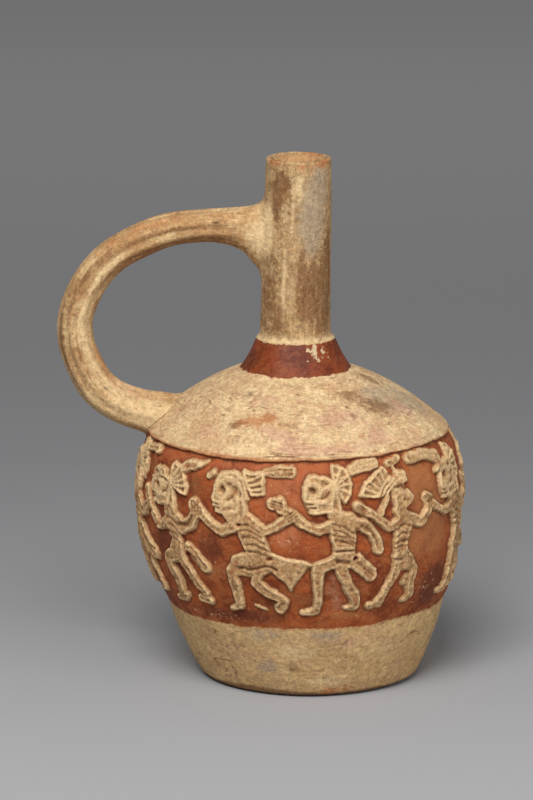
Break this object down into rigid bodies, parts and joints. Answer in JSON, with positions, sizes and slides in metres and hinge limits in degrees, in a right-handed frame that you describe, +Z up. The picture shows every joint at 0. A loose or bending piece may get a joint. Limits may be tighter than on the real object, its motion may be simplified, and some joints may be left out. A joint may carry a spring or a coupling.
{
  "type": "handled jar",
  "caption": "Fired-clay bottle with a round belly, a straight tall neck, one looped side handle and a raised band of dancing skeletons.",
  "frame": {"origin": "middle of the flat foot, on the surface that the jar stands on", "axes": "+Z up through the neck, the handle points to -X, the picture side faces -Y"},
  "size_m": [0.1727, 0.1404, 0.22],
  "materials": {
    "clay": "matte slip"
  },
  "bodies": {
    "root": {"jar": "clay"}
  },
  "joints": []
}
